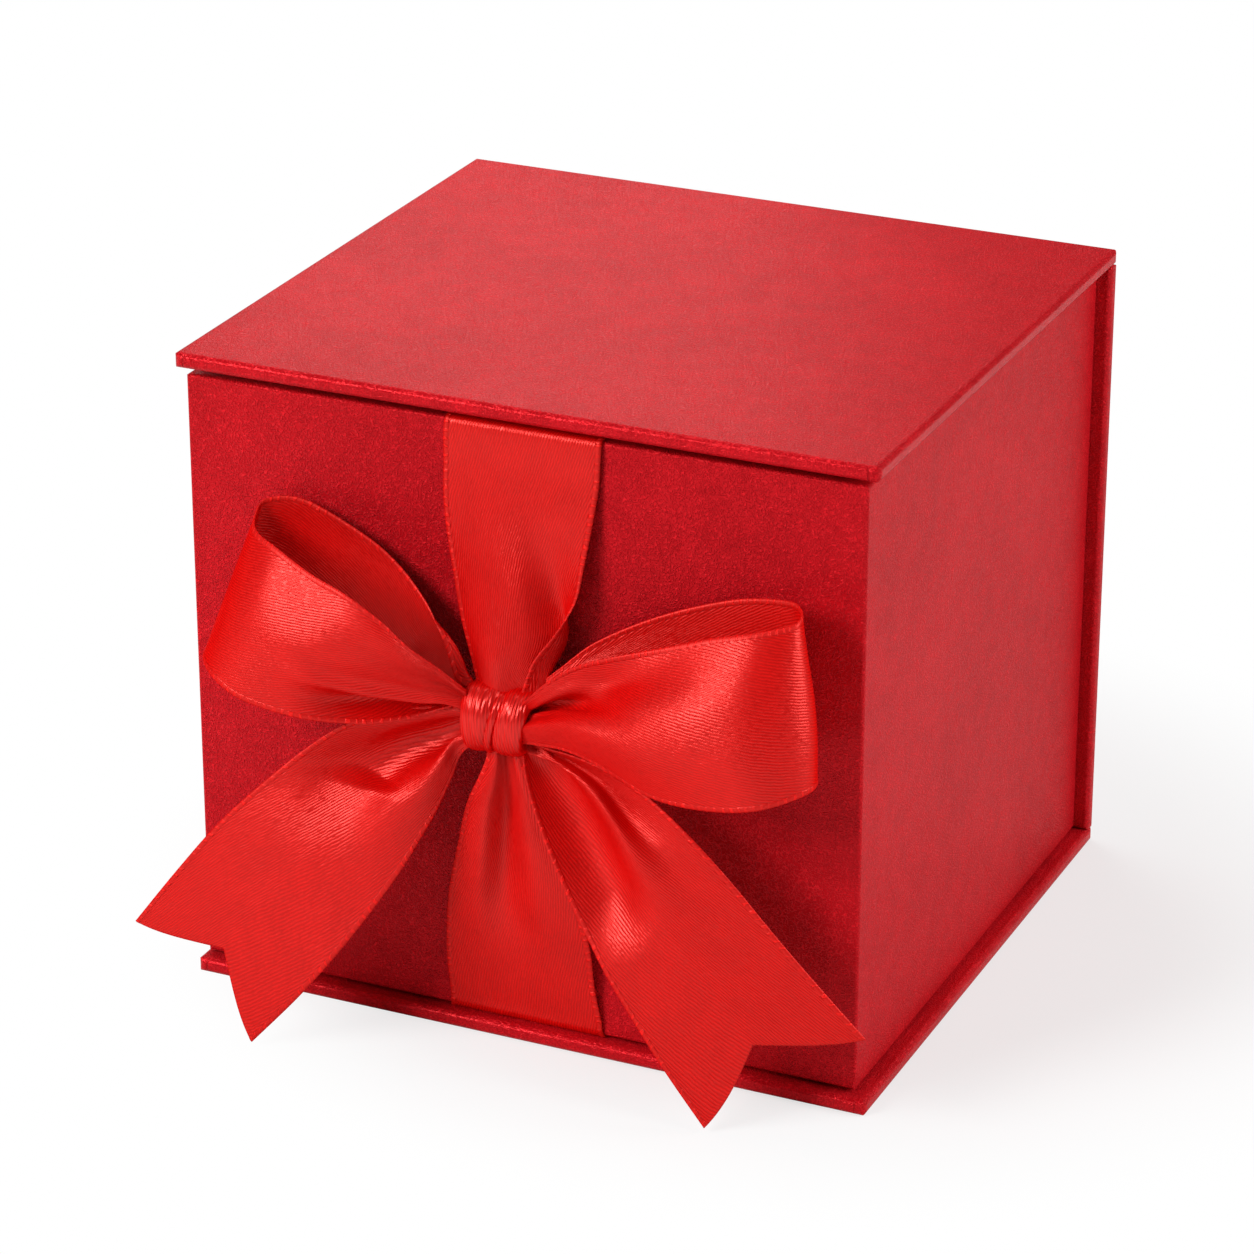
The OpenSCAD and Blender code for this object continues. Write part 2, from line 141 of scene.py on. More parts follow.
class Tree:
    """A material's nodes. node(kind, settings, inputs) adds any node and gives its first
    output, or the one named by out."""

    def __init__(self, name):
        self.material = bpy.data.materials.new(name)
        self.material.use_nodes = True
        self.nodes = self.material.node_tree.nodes
        self.links = self.material.node_tree.links
        self.nodes.clear()

    def plug(self, value, socket):
        if isinstance(value, Value):
            self.links.new(value.socket, socket)
        else:
            socket.default_value = value

    def node(self, kind, settings=None, inputs=None, out=0):
        made = self.nodes.new(kind)
        for key, value in (settings or {}).items():
            setattr(made, key, value)
        for key, value in (inputs or {}).items():
            self.plug(value, made.inputs[key])
        return Value(self, made.outputs[out]) if made.outputs else made

    def spread(self, value, low, high, to_low=0.0, to_high=1.0):
        """value taken from low..high to to_low..to_high with soft ends."""
        return self.node("ShaderNodeMapRange", {"interpolation_type": "SMOOTHSTEP"},
                         {0: value, 1: low, 2: high, 3: to_low, 4: to_high})

    def mix_colour(self, share, first, second):
        """first where share is 0 and second where it is 1."""
        return self.node("ShaderNodeMix", {"data_type": "RGBA"}, {0: share, 6: first, 7: second},
                         out=2)

    def bump(self, height, distance, normal=None):
        """A normal tilted by height, which stands for distance metres where it is 1."""
        inputs = {"Height": height, "Distance": distance, "Strength": 1.0}
        if normal is not None:
            inputs["Normal"] = normal
        return self.node("ShaderNodeBump", {}, inputs)

    def surface(self, inputs):
        """Ends the tree in a Principled shader with these inputs."""
        shader = self.node("ShaderNodeBsdfPrincipled", {}, inputs)
        self.node("ShaderNodeOutputMaterial", {}, {"Surface": shader})
        return self.material


print("shader helpers ready")

# %% [markdown]
# ## The floor
#
# In a packshot the box stands on a wide matt white sheet that fades into the background. It
# could be made white by more light, but that would bleach the box. So the camera sees a mix of
# the lit sheet, which keeps the soft shadow, and of plain white, and the box is left alone.

# %% Floor
FLOOR_SIZE = 12.0
FLOOR_WHITE = 0.82
LIFT_MIDDLE = (0.03, 0.03, 0)
LIFT_NEAR = 0.09
LIFT_FAR = 0.175
LIFT_LEAST = 0.62


def make_floor_material():
    """Matt white, mixed with plain white light for what the camera sees directly. The share of
    light grows from LIFT_LEAST to 1 between two distances from a place behind the box on its
    shaded side, so only the shadows close by are seen."""
    tree = Tree("floor_white")
    seen = tree.node("ShaderNodeLightPath", {}, {}, out="Is Camera Ray")
    place = tree.node("ShaderNodeTexCoord", {}, {}, out="Object")
    away = tree.node("ShaderNodeVectorMath", {"operation": "DISTANCE"},
                     {0: place, 1: LIFT_MIDDLE}, out="Value")
    lift = tree.spread(away, LIFT_NEAR, LIFT_FAR, LIFT_LEAST, 1.0)
    matt = tree.node("ShaderNodeBsdfDiffuse", {}, {"Color": (FLOOR_WHITE,) * 3 + (1,)})
    glow = tree.node("ShaderNodeEmission", {}, {"Color": (1, 1, 1, 1), "Strength": 1.0})
    both = tree.node("ShaderNodeMixShader", {}, {0: seen * lift, 1: matt, 2: glow})
    tree.node("ShaderNodeOutputMaterial", {}, {"Surface": both})
    return tree.material


half = FLOOR_SIZE / 2
floor_mesh = bpy.data.meshes.new("floor")
floor_mesh.from_pydata([(-half, -half, 0), (half, -half, 0), (half, half, 0), (-half, half, 0)],
                       [], [(0, 1, 2, 3)])
floor = bpy.data.objects.new("floor", floor_mesh)
scene.collection.objects.link(floor)
floor.data.materials.append(make_floor_material())
print("floor", FLOOR_SIZE, "m wide")

# %% [markdown]
# ## Lamps
#
# A packshot is lit by soft boxes: lamps behind square cloths, whose wide faces give soft shadows
# and broad highlights. The key stands in front on the left and models the bow, and a wide one on
# the right fills the side. A third hangs over the lid, and a small one close behind it, on the
# left, gives the lid its pale sheen. A dim white surround softens the rest. Area lamps do this
# as real soft boxes do, and they are set by the brightness that each gives a white card.

# %% Lamps and surround
AIM = mathutils.Vector((0, 0, 0.08))
SURROUND = 0.145
# name, azimuth, elevation, distance, size, level
SOFTBOXES = [
    ("key_softbox", -36, 30, 1.3, 0.55, 0.80),
    ("side_softbox", 98, 32, 1.4, 0.9, 0.76),
    ("top_softbox", -120, 66, 0.8, 0.5, 0.30),
    ("back_softbox", -147, 36, 0.38, 0.22, 0.20),
]


def add_softbox(name, azimuth, elevation, distance, size, level):
    """A square lamp aimed at the box. Azimuth is counted from the front towards +X, in degrees.
    level is the brightness that it alone gives a white card facing it; a lamp of P watts at
    distance d gives P / (pi d)^2."""
    a, e = math.radians(azimuth), math.radians(elevation)
    level_part = math.cos(e)
    towards = mathutils.Vector((math.sin(a) * level_part, -math.cos(a) * level_part, math.sin(e)))
    lamp = bpy.data.objects.new(name, bpy.data.lights.new(name, "AREA"))
    lamp.data.size = size
    lamp.data.energy = level * (math.pi * distance) ** 2
    lamp.location = AIM + distance * towards
    lamp.rotation_euler = towards.to_track_quat("Z", "Y").to_euler()
    scene.collection.objects.link(lamp)


for softbox in SOFTBOXES:
    add_softbox(*softbox)

world = bpy.data.worlds.new("surround")
world.use_nodes = True
world.node_tree.nodes["Background"].inputs["Color"].default_value = (1, 1, 1, 1)
world.node_tree.nodes["Background"].inputs["Strength"].default_value = SURROUND
scene.world = world
print(len(SOFTBOXES), "softboxes and a dim white surround")

# %% [markdown]
# ## Covering paper
#
# The boards are covered in a heavy dyed paper with a fine grain and a faint pearl in its
# colour. The grain is pressed in as fine winding lines under a millimetre apart, with no
# direction of its own, so a bump made of noise does it. Its raised lines are a little paler,
# and broad clouds vary the dye. Round the boards' edges the paper is drawn tight and smoothed
# by rubbing, so they look rounder than the boards beneath and catch a thin line of light, and
# there its colour is painted a little darker as painted shade on the edge faces. At each
# front corner the folded paper leaves a seam across the board's edge. Pictures of paper could
# be laid on instead, but noise has no seams and follows every board without a UV map.

# %% Where the boards' edges are
HALF_WIDTH = float(lid_high[0]) / MM
HALF_DEPTH = float(-lid_low[1]) / MM
BOARD = float(base_high[2] - base_low[2]) / MM
BASE_MIDDLE = float(base_low[2]) / MM + BOARD / 2
LID_MIDDLE = float(lid_high[2]) / MM - BOARD / 2
ARRIS = 1.1
SEAM_IN = 2.6
SEAM_DEEP = 0.12
print("boards", round(BOARD, 2), "mm thick, middles at", round(BASE_MIDDLE, 2), "and",
      round(LID_MIDDLE, 2))

# %% [markdown]
# ## The grain and the edges in one material
#
# One function makes all the papers and boards, because they differ only in colour, in the size
# and depth of their grain and in gloss. The distances from the case's outline and from the
# boards' faces tell it where the paper is bent, smoothed by rubbing and darkened with painted
# shade, or folded, so nothing is modelled twice.

# %% The paper's finish
GRAIN_DETAIL = 0.6
LINE_HALF = 0.12
MOTTLE_SCALE = 0.16
BROAD_SCALE = 0.02
RUB_SHADE_NEAR = 0.4
RUB_SHADE_FAR = 1.6
RUB_GLOSS = 0.2


def object_mm(tree):
    """The place on the object in millimetres."""
    place = tree.node("ShaderNodeTexCoord", {}, {}, out="Object")
    return tree.node("ShaderNodeVectorMath", {"operation": "MULTIPLY"},
                     {0: place, 1: (1000, 1000, 1000)})


def make_paper(name, colour, pearl, grain_size, grain_depth, roughness):
    """Fine grained paper. The grain is the set of lines where a small noise crosses its middle:
    they wind about and never cross. A coarser noise breaks them up, and two broad ones are the
    clouds in the dye. inside is the distance from the case's outline and to_face the distance
    from a board's face, so along the boards' edges one of the two is 0 and their sum is the
    distance from the corner line. There the paper bends over by up to 45 degrees: the height
    falls as (1 - distance / ARRIS)^2 * ARRIS / 2. There it is also smoothed by rubbing, and its
    colour is painted a little darker as painted shade on the edge faces. A seam shows where the
    corner was folded in."""
    tree = Tree(name)
    place = object_mm(tree)
    grain = tree.node("ShaderNodeTexNoise", {},
                      {"Vector": place, "Scale": 1.0 / grain_size, "Detail": GRAIN_DETAIL})
    coarse = tree.node("ShaderNodeTexNoise", {},
                       {"Vector": place, "Scale": 0.35 / grain_size, "Detail": 2.0})
    mottle = tree.node("ShaderNodeTexNoise", {},
                       {"Vector": place, "Scale": MOTTLE_SCALE, "Detail": 3.0})
    broad = tree.node("ShaderNodeTexNoise", {},
                      {"Vector": place, "Scale": BROAD_SCALE, "Detail": 2.0})
    parts = tree.nodes.new("ShaderNodeSeparateXYZ")
    tree.links.new(place.socket, parts.inputs[0])
    x, y, z = (Value(tree, output) for output in parts.outputs)
    lines = (tree.spread((grain - 0.5).math("ABSOLUTE"), 0.0, LINE_HALF, 1.0, 0.0)
             * tree.spread(coarse, 0.35, 0.6, 0.7, 1.0))
    inside = (HALF_WIDTH - x.math("ABSOLUTE")).math("MINIMUM", HALF_DEPTH - y.math("ABSOLUTE"))
    inside = inside.math("MAXIMUM", 0.0)
    off_board = (z - BASE_MIDDLE).math("ABSOLUTE").math(
        "MINIMUM", (z - LID_MIDDLE).math("ABSOLUTE")) - BOARD / 2
    to_face = (0.0 - off_board).math("MAXIMUM", 0.0)
    bend = (1 - (inside + to_face) / ARRIS).math("MAXIMUM", 0.0)
    on_board = tree.spread(off_board, 0.2, 1.0, 1.0, 0.0)
    # The edge band is smoothed by rubbing and is also painted darker: painted shade on the
    # boards' edge faces.
    rubbed_and_shaded = tree.spread(inside, RUB_SHADE_NEAR, RUB_SHADE_FAR, 1.0, 0.0) * on_board
    seam = (tree.spread((x.math("ABSOLUTE") - (HALF_WIDTH - SEAM_IN)).math("ABSOLUTE"),
                        0.08, 0.26, 1.0, 0.0)
            * tree.spread(HALF_DEPTH + y, 0.1, 0.5, 1.0, 0.0) * on_board)
    # Less of the paler colour in the edge band is painted shade on the boards' edge faces.
    share = (lines * 0.46 + tree.spread(mottle, 0.35, 0.65) * 0.12
             + tree.spread(broad, 0.35, 0.65) * 0.12 + 0.16 - seam * 0.5 - rubbed_and_shaded * 0.12)
    drawn = tree.bump(bend * bend * (-ARRIS / 2) - seam * SEAM_DEEP, MM)
    return tree.surface({
        "Base Color": tree.mix_colour(share, colour, pearl),
        "Roughness": roughness + tree.spread(coarse, 0.3, 0.7, -0.01, 0.02) - rubbed_and_shaded * RUB_GLOSS,
        "Metallic": 0.2,
        "Specular IOR Level": 0.25,
        "Specular Tint": (1.0, 0.3, 0.3, 1),
        "Normal": tree.bump((lines + coarse * 0.1) * (1 - rubbed_and_shaded * 0.7), grain_depth, drawn),
    })


print("one function for all papers")

# %% [markdown]
# ## Papers, boards, tape and glue
#
# The case and the tray wear the red covering paper. Inside lies a thin smooth lining paper, and
# hidden under the papers are the greyboard, the gummed tape at the tray's corners and the glue.
# The frame's record says which node is which, so the materials are handed out by its slots.

# %% Papers on the nodes
cover_paper = make_paper("cover_paper", (0.40, 0.002, 0.006, 1), (0.88, 0.012, 0.022, 1),
                         0.65, 0.00022, 0.42)
lining_paper = make_paper("lining_paper", (0.38, 0.006, 0.02, 1), (0.46, 0.012, 0.03, 1),
                          0.6, 0.00003, 0.6)
greyboard = make_paper("greyboard", (0.30, 0.28, 0.25, 1), (0.42, 0.40, 0.36, 1),
                       0.8, 0.00005, 0.85)
kraft_tape = make_paper("kraft_tape", (0.48, 0.33, 0.17, 1), (0.58, 0.42, 0.24, 1),
                        0.9, 0.00003, 0.5)
set_glue = make_paper("set_glue", (0.62, 0.50, 0.28, 1), (0.72, 0.60, 0.36, 1),
                      6.0, 0.0001, 0.35)

FINISH = {
    "covering_paper": cover_paper,
    "lining_paper": lining_paper,
    "greyboard": greyboard,
    "gummed_tape": kraft_tape,
    "glue": set_glue,
}
slots = {entry["node"]: entry["material_slot"] for entry in frame["record"]["subparts"]}
for node, slot in slots.items():
    if slot in FINISH:
        piece = frame["nodes"][node]
        piece.data.materials.clear()
        piece.data.materials.append(FINISH[slot])
print("papers on", sum(slot in FINISH for slot in slots.values()), "nodes")

# %% [markdown]
# ## The weave of the satin
#
# Satin ribbon is woven so that long floats of bright yarn lie on its face, in fine slanting
# lines. Its edges are woven denser: a selvedge about a millimetre wide with short cross
# stitches, set off by a fine groove. Threads could be modelled one by one, but there are
# thousands. The pattern is worked out instead from the ribbon's own UV map, where one unit is
# one ribbon width in each direction, so it follows each turn and fold.

# %% Weave
RIBBON = 40.0
TWILL = 0.68
TWILL_TURN = math.radians(17)
SELVEDGE = 1.4
SELVEDGE_SOFT = 0.3
GROOVE = 0.35
STITCH = 2.0


def weave_of(tree):
    """Height of the yarns, how lit their dye looks, and the share of selvedge and of floats.
    steep runs across the twill lines and run along them. A stretched noise breaks the lines
    into floats of yarn, and where a finer one is high a float catches the light."""
    uv = tree.node("ShaderNodeUVMap", {"uv_map": "ribbon"})
    parts = tree.nodes.new("ShaderNodeSeparateXYZ")
    tree.links.new(uv.socket, parts.inputs[0])
    across = Value(tree, parts.outputs[0]) * RIBBON
    along = Value(tree, parts.outputs[1]) * RIBBON

    def noise(x, y, scale, detail):
        flat = tree.node("ShaderNodeCombineXYZ", {}, {0: x, 1: y})
        return tree.node("ShaderNodeTexNoise", {},
                         {"Vector": flat, "Scale": scale, "Detail": detail})

    steep = across * math.cos(TWILL_TURN) + along * math.sin(TWILL_TURN)
    run = along * math.cos(TWILL_TURN) - across * math.sin(TWILL_TURN)
    wander = noise(across, along, 0.35, 2.0)
    floats = noise(steep * 1.7, run * 0.55, 1.0, 2.0)
    sparks = noise(steep * 2.4, run * 0.8 + 40.0, 1.0, 1.0)
    cloud = noise(across, along, 0.12, 2.0)
    turns = (steep + wander * 0.5) * (2 * math.pi / TWILL)
    twill = (turns.math("SINE") * 0.5 + 0.5) * tree.spread(floats, 0.3, 0.52, 0.4, 1.0)
    spark = tree.spread(sparks, 0.6, 0.74)
    edge = (across - RIBBON / 2).math("ABSOLUTE")
    border = RIBBON / 2 - SELVEDGE
    selvedge = tree.spread(edge, border, border + SELVEDGE_SOFT)
    groove = tree.spread(edge, border - GROOVE, border) * (1 - selvedge)
    stitch_turns = (along + wander * 2.5) * (2 * math.pi / STITCH)
    stitch = tree.spread(stitch_turns.math("SINE"), 0.3, 0.8) * tree.spread(cloud, 0.4, 0.6, 0.3)
    weave = (twill + spark * 0.25) * (1 - selvedge)
    height = weave + selvedge * (stitch * 2.6 + 0.8) - groove * 0.6
    # The dye's lit share paints light and shade: floats, sparks and selvedge stitches are painted
    # brighter as sheen, the groove is painted darker as shade, and the cloud is the dye's own
    # uneven tone.
    lit = (weave * 0.55 + selvedge * (stitch * 0.85 + 0.15) + tree.spread(cloud, 0.3, 0.7) * 0.15
           + 0.06 - groove * 0.12)
    return height, lit, selvedge, floats


print("twill lines", TWILL, "mm apart, selvedges", SELVEDGE, "mm wide")

# %% [markdown]
# ## Satin from two shaders
#
# Bright yarn is dyed through and throws back a sheen in its own colour. One varnished shader
# would show grey at the turns, because a varnish reflects white there. So the dyed yarn is a
# matt shader and the sheen a metallic one of a paler red, and a constant share mixes the two.
# The knot is pulled tight and pressed, so its satin is a little glossier.

# %% Satin material
YARN = 0.000065
SATIN_SHEEN = 0.20
SATIN_ROUGHNESS = 0.275
TIGHT_SHEEN = 0.28
TIGHT_ROUGHNESS = 0.24


def make_satin(name, share, roughness):
    """The weave as colour and bump on a matt dyed shader and a metallic sheen. share is the
    sheen's part. Edges and thick floats are rougher."""
    tree = Tree(name)
    height, lit, selvedge, floats = weave_of(tree)
    normal = tree.bump(height, YARN)
    dyed = tree.node("ShaderNodeBsdfPrincipled", {}, {
        "Base Color": tree.mix_colour(lit, (0.46, 0.001, 0.001, 1), (0.90, 0.005, 0.004, 1)),
        "Roughness": 0.6,
        "Specular IOR Level": 0.0,
        "Normal": normal})
    sheen = tree.node("ShaderNodeBsdfPrincipled", {}, {
        "Base Color": (1.0, 0.115, 0.1, 1),
        "Metallic": 1.0,
        "Roughness": roughness + selvedge * 0.12 + floats * 0.12,
        "Specular Tint": (0.8, 0.1, 0.08, 1),
        "Normal": normal})
    both = tree.node("ShaderNodeMixShader", {}, {0: share, 1: dyed, 2: sheen})
    tree.node("ShaderNodeOutputMaterial", {}, {"Surface": both})
    return tree.material


satin = make_satin("red_satin", SATIN_SHEEN, SATIN_ROUGHNESS)
tight_satin = make_satin("red_satin_tight", TIGHT_SHEEN, TIGHT_ROUGHNESS)
print("satin ready, sheen", SATIN_SHEEN, "and at the knot", TIGHT_SHEEN)

# %% [markdown]
# ## Curves and faces
#
# A soft ribbon has no corners along its length, so every line on it is a smooth curve through a
# few known points. Blender's curve objects could do that, but here two edges and the lines
# between them are worked out together as arrays. These helpers do the sums.

# %% Curves
def through(points, t):
    """Catmull-Rom curve: the cubic through each pair of points whose slope at a point is half
    the step between its neighbours. points is (n, ...), t runs from 0 to 1."""
    points = np.asarray(points, float)
    last = len(points) - 1
    place = np.clip(np.asarray(t) * last, 0, last - 1e-9)
    i = place.astype(int)
    u = (place - i).reshape((-1,) + (1,) * (points.ndim - 1))
    before = points[np.maximum(i - 1, 0)]
    start = points[i]
    end = points[i + 1]
    after = points[np.minimum(i + 2, last)]
    return 0.5 * (2 * start + (end - before) * u
                  + (2 * before - 5 * start + 4 * end - after) * u ** 2
                  + (3 * start - before - 3 * end + after) * u ** 3)


def unit(vectors):
    """Vectors of length one."""
    return vectors / np.maximum(np.linalg.norm(vectors, axis=-1, keepdims=True), 1e-12)


def face_of(grid):
    """Unit normals of a grid of points: the cross product of its two steps."""
    return unit(np.cross(np.gradient(grid, axis=0), np.gradient(grid, axis=1)))


def smooth(x):
    """3 x^2 - 2 x^3, held between 0 and 1."""
    x = np.clip(x, 0, 1)
    return x * x * (3 - 2 * x)


print("curves ready")

# %% [markdown]
# ## Ribbon as a sheet between two edges
#
# A ribbon bends but does not stretch, and what the eye reads is its two edges. A cloth
# simulation could tie one, but its folds fall where they like. Each piece is therefore given by
# stations along it: the place of both edges, and how far the quarter, the middle and the
# three-quarter line stand out from the straight line between them. Smooth curves through the
# stations give a surface of two parameters, and folds near the knot are added to it.

# %% Middle surface
FINE = 4
COLUMNS = 81


def even_across(fine, columns):
    """Each row of points taken again at equal steps of its own length."""
    steps = np.linalg.norm(np.diff(fine, axis=1), axis=2)
    run = np.concatenate([np.zeros((len(fine), 1)), np.cumsum(steps, axis=1)], axis=1)
    run /= run[:, -1:]
    want = np.linspace(0, 1, columns)
    place = np.stack([np.interp(want, row, np.arange(fine.shape[1])) for row in run])
    low = np.minimum(place.astype(int), fine.shape[1] - 2)
    part = (place - low)[..., None]
    line = np.arange(len(fine))[:, None]
    return fine[line, low] * (1 - part) + fine[line, low + 1] * part


def middle_surface(stations, rows, columns, folds=()):
    """Points (rows, columns, 3) in millimetres. A station is both edges and then how far the
    quarter, middle and three-quarter points stand off the straight line between them, outwards
    and, if given, along it. The surface runs smoothly through these five rails. A fold adds
    height * exp(-((v - middle) / width)^2), whose middle and width glide from the first to the
    second value, times a share that falls smoothly from 1 to 0 before the fold's end: from
    hold, a share of its length. slant is how much later it ends further across."""
    t = np.linspace(0, 1, rows)
    first = through([s[0] for s in stations], t)
    second = through([s[1] for s in stations], t)
    lift = through([s[2] for s in stations], t)
    slide = through([s[3] if len(s) > 3 else (0, 0, 0) for s in stations], t)
    width = second - first
    outward = unit(np.cross(np.gradient((first + second) / 2, axis=0), width))
    rails = [first]
    for k, share in enumerate((0.25, 0.5, 0.75)):
        rails.append(first + share * width + lift[:, k:k + 1] * outward
                     + slide[:, k:k + 1] * unit(width))
    rails.append(second)
    fine = through(np.array(rails), np.linspace(0, 1, FINE * columns)).transpose(1, 0, 2)
    grid = even_across(fine, columns)
    if not folds:
        return grid
    v = np.linspace(0, 1, columns)[None, :]
    height = np.zeros((rows, columns))
    for v0, v1, w0, w1, start, end, high, hold, slant in folds:
        glide = np.clip((t[:, None] - start) / (end + slant * (v - v1) - start), 0, 1)
        mid = v0 + (v1 - v0) * glide
        wide = w0 + (w1 - w0) * glide
        fade = 1 - smooth((glide - hold) / (1 - hold))
        height += high * fade * np.exp(-((v - mid) / wide) ** 2)
    return grid + height[..., None] * face_of(grid)


print("middle surfaces ready")

# %% [markdown]
# ## From a surface to cloth
#
# A real ribbon has two faces, a thickness and thicker woven edges. A Solidify modifier could add
# the thickness, but not the edges, so both faces are set off from the middle surface here and
# joined round the rim into one closed mesh. Its UV map counts ribbon widths along and across,
# with both selvedges kept at their real width where the ribbon is gathered.

# %% Closed sheets
THICK = 0.32
EDGE_THICK = 0.55
BEAD = 0.06
CUT_END = 0.4
WOVEN_EDGE = 3


def add_mesh(name, points, faces, uv, material, body):
    """A smooth mesh object with a UV map, riding on a body of the frame."""
    mesh = bpy.data.meshes.new(name)
    mesh.from_pydata(points.tolist(), [], faces.tolist())
    layer = mesh.uv_layers.new(name="ribbon")
    corners = np.empty(len(mesh.loops), dtype=np.int32)
    mesh.loops.foreach_get("vertex_index", corners)
    layer.data.foreach_set("uv", uv[corners].astype(np.float32).ravel())
    mesh.polygons.foreach_set("use_smooth", np.ones(len(mesh.polygons), dtype=bool))
    mesh.materials.append(material)
    piece = bpy.data.objects.new(name, mesh)
    scene.collection.objects.link(piece)
    outward = np.array([p.normal for p in mesh.polygons])
    centre = np.array([p.center for p in mesh.polygons])
    area = np.array([p.area for p in mesh.polygons])
    if (np.einsum("ij,ij->i", outward, centre) * area).sum() < 0:
        mesh.flip_normals()
    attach(piece, body)
    print(name, len(mesh.polygons), "faces")
    return piece


def closed_sheet(name, grid, body="box"):
    """A closed mesh round a middle surface in millimetres: both faces half a thickness off it,
    thicker along the woven edges, joined round the rim. Its UV map runs across and along."""
    rows, columns = grid.shape[:2]
    v = np.linspace(0, 1, columns)
    edge = np.clip((np.abs(v - 0.5) * 2 - (1 - BEAD)) / BEAD, 0, 1)
    bead = np.sqrt(np.clip(1 - (2 * edge - 1) ** 2, 0, 1)) * (edge > 0)
    thick = THICK + (EDGE_THICK - THICK) * bead
    thick[[0, -1]] = THICK * CUT_END
    shift = face_of(grid) * (thick / 2)[None, :, None]
    points = np.concatenate([(grid + shift).reshape(-1, 3), (grid - shift).reshape(-1, 3)]) * MM
    index = np.arange(rows * columns).reshape(rows, columns)
    quads = np.stack([index[:-1, :-1], index[1:, :-1], index[1:, 1:], index[:-1, 1:]],
                     axis=-1).reshape(-1, 4)
    rim = np.concatenate([index[:, 0], index[-1, 1:], index[-2::-1, -1], index[0, -2:0:-1]])
    after = np.roll(rim, -1)
    under = rows * columns
    wall = np.stack([rim, rim + under, after + under, after], axis=-1)
    faces = np.concatenate([quads, quads[:, ::-1] + under, wall])
    steps = np.linalg.norm(np.diff(grid[:, columns // 2], axis=0), axis=1)
    run = np.concatenate([[0], np.cumsum(steps)]) / RIBBON
    girth = np.linalg.norm(np.diff(grid, axis=1), axis=2).sum(axis=1)[:, None]
    woven = np.minimum(v, 1 - v) * girth
    inner = np.maximum(girth - 2 * WOVEN_EDGE, 1)
    woven = woven + np.maximum(woven - WOVEN_EDGE, 0) * (RIBBON - girth) / inner
    across = np.where(v < 0.5, woven, RIBBON - woven) / RIBBON
    uv = np.stack([across, np.broadcast_to(run[:, None], (rows, columns))],
                  axis=-1).reshape(-1, 2)
    return add_mesh(name, points, faces, np.concatenate([uv, uv]), satin, body)


print("sheets", THICK, "mm thick,", EDGE_THICK, "at their woven edges")

# %% [markdown]
# ## The bow's loops
#
# A loop is one length of ribbon: it leaves the knot behind, runs out along the box, turns and
# comes back in front. Near the knot the ribbon is gathered, so there its lines fold into
# troughs and ridges. A loop could be a bent flat strip, but a real one is drawn together at the
# knot and opens like a shell, so its two edges follow different curves. The stations are written
# from the side of the knot: outwards, forward from the box and up, in millimetres.

# %% Stations of the bow
def bow_to_box(side, point):
    """From [out, forward, up] beside the knot to the frame's millimetres."""
    out, forward, up = point
    root = knot_mid[0] / MM + side * ((knot_high[0] - knot_low[0]) / 2 / MM + 0.3)
    return [root + side * out, knot_mid[1] / MM - forward, knot_mid[2] / MM + up]


def bow_stations(side, rows):
    """Stations beside the knot, on the left where side is -1, taken to the frame."""
    return [(bow_to_box(side, s[0]), bow_to_box(side, s[1])) + tuple(s[2:]) for s in rows]


print("the bow is built from", [round(float(x), 1) for x in knot_mid / MM])

# %% [markdown]
# ## Left loop
#
# The left loop rises steeply and is seen from its open side, with its shaded inside above. Its
# front band is tilted upwards and catches the key lamp. One deep trough and one ridge run into
# the knot below.

# %% Left loop
LOOP_ROWS = 320
LEFT_LOOP = [
    ([-2, 1, 4], [0, -3, -3], [-1, -1, -0.5], [-1.5, 0, 0.5]),
    ([-0.2, 1.5, 4.7], [3, -4.5, -3.8], [-2.3, -2, -1.2], [-3.3, -0.3, 0.5]),
    ([2.9, 1.5, 6.9], [10.2, -5.5, -6], [-3.2, -2.5, -1.1], [-5.9, -0.1, 0.4]),
    ([5.1, 1, 12.7], [17.9, -6.5, -8], [-2.6, -3.4, -1.6], [-6.7, -2.1, -0.9]),
    ([8, -0.5, 17.3], [25, -7, -9], [-1.6, -3, -1.5], [-6.5, -3, -1.5]),
    ([12.5, -3.5, 22], [30, -7, -9], [-0.8, -1, -0.5], [-2, -1.2, -0.5]),
    ([20, -6, 28.2], [34.5, -7, -6.5], [0, 0, 0], [0, 0, 0]),
    ([29, -7, 33.7], [41, -7, -3.5], [0, 0, 0], [0, 0, 0]),
    ([44.5, -7, 40], [56.5, -6, 0.5], [0, 0, 0], [0, 0, 0]),
    ([53, -4.5, 39.8], [65.3, -2.5, 1.2], [0, 0, 0], [0, 0, 0]),
    ([53.9, -1, 37.5], [64.6, 7.1, 3.2], [0, 0, 0], [0, 0, 0]),
    ([50.7, 5, 35.8], [57.8, 15.5, 2.5], [-1, -1.2, -0.8], [-0.3, -0.4, -0.2]),
    ([42.5, 10, 34.6], [48.5, 18.5, -0.4], [-2.6, -3.2, -1.9], [-0.8, -1.2, -0.4]),
    ([32.5, 13, 31.3], [34.6, 17.7, -2.6], [-2.7, -4, -1.7], [-1.4, -1.6, -0.3]),
    ([22.4, 15.5, 28.9], [24.1, 12.5, -4.3], [-2.7, -3.3, 1], [-1.6, -1.6, 1.5]),
    ([14, 15.5, 24.1], [15.9, 8, -4.3], [-2.3, -1.7, 1.6], [-2.6, -1.7, 1.7]),
    ([8.2, 13.5, 18], [9.4, 4.5, -2.7], [-1.5, -0.8, 1.4], [-1.8, -0.5, 2.2]),
    ([3.6, 8.5, 11.9], [3.6, 3.5, -0.1], [-0.8, -0.4, 0.9], [-1.1, -0.2, 1]),
    ([-1, 3.5, 5], [-0.2, 2, 1], [-1, -0.9, -0.1], [-1.1, -1, -0.1]),
]
